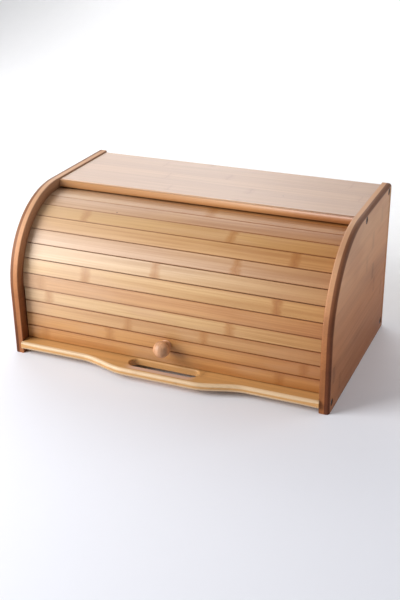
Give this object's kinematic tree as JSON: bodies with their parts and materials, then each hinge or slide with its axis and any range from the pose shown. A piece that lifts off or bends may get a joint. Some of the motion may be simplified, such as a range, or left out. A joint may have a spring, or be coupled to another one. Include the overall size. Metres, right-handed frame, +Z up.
{
  "type": "bread box with roll top",
  "caption": "Bamboo bread box with round-shouldered side panels, a fixed top board, a roll-top door of slats with a round knob, and a wavy base lip with a hand slot.",
  "frame": {"origin": "middle of the box's footprint, on the surface it stands on", "axes": "+X along the slats to the right, +Y to the back, +Z up; the roll-top door faces -Y"},
  "size_m": [0.39, 0.248, 0.186],
  "materials": {
    "panel_wood": "clear-lacquered bamboo, red-brown",
    "board_wood": "clear-lacquered bamboo, tan",
    "base_wood": "clear-lacquered bamboo, honey",
    "slat_wood": "clear-lacquered bamboo",
    "knob_wood": "turned and lacquered wood",
    "cloth": "woven cotton backing",
    "screw_steel": "dark oxide"
  },
  "bodies": {
    "case": {"side_panel_left": "panel_wood", "side_panel_right": "panel_wood", "base_board": "base_wood", "top_board": "board_wood", "back_panel": "board_wood", "screw_left_top_front": "screw_steel", "screw_left_top_back": "screw_steel", "screw_left_base_front": "screw_steel", "screw_left_base_back": "screw_steel", "screw_right_top_front": "screw_steel", "screw_right_top_back": "screw_steel", "screw_right_base_front": "screw_steel", "screw_right_base_back": "screw_steel"},
    "tambour": {"slat_05": "slat_wood", "slat_06": "slat_wood", "slat_07": "slat_wood", "slat_08": "slat_wood", "slat_09": "slat_wood", "slat_10": "slat_wood", "slat_11": "slat_wood", "slat_12": "slat_wood", "slat_13": "slat_wood", "tambour_cloth": "cloth"},
    "slat_04_link": {"slat_04": "slat_wood", "cloth_strip_04": "cloth"},
    "slat_03_link": {"slat_03": "slat_wood", "cloth_strip_03": "cloth"},
    "slat_02_link": {"slat_02": "slat_wood", "cloth_strip_02": "cloth", "knob": "knob_wood", "knob_screw": "screw_steel"},
    "slat_01_link": {"slat_01": "slat_wood", "cloth_strip_01": "cloth"}
  },
  "joints": [
    {"name": "tambour_turn", "type": "hinge", "parent": "case", "child": "tambour", "pos_m": [0, -0.003, 0.082], "axis": [-1, 0, 0], "range_deg": [0, 112]},
    {"name": "slat_04_turn", "type": "hinge", "parent": "case", "child": "slat_04_link", "pos_m": [0, 0.00007, 0.0779], "axis": [-1, 0, 0], "range_deg": [0, 106.44]},
    {"name": "slat_03_turn", "type": "hinge", "parent": "case", "child": "slat_03_link", "pos_m": [0, 0.00822, 0.0697], "axis": [-1, 0, 0], "range_deg": [0, 95.28]},
    {"name": "slat_02_turn", "type": "hinge", "parent": "case", "child": "slat_02_link", "pos_m": [0, 0.01972, 0.0615], "axis": [-1, 0, 0], "range_deg": [0, 84.13]},
    {"name": "slat_01_turn", "type": "hinge", "parent": "case", "child": "slat_01_link", "pos_m": [0, 0.03581, 0.0533], "axis": [-1, 0, 0], "range_deg": [0, 72.98]}
  ],
  "couplings": [
    {"joint": "slat_04_turn", "follows": "tambour_turn", "ratio": 0.95022},
    {"joint": "slat_03_turn", "follows": "tambour_turn", "ratio": 0.85066},
    {"joint": "slat_02_turn", "follows": "tambour_turn", "ratio": 0.75109},
    {"joint": "slat_01_turn", "follows": "tambour_turn", "ratio": 0.65153}
  ]
}
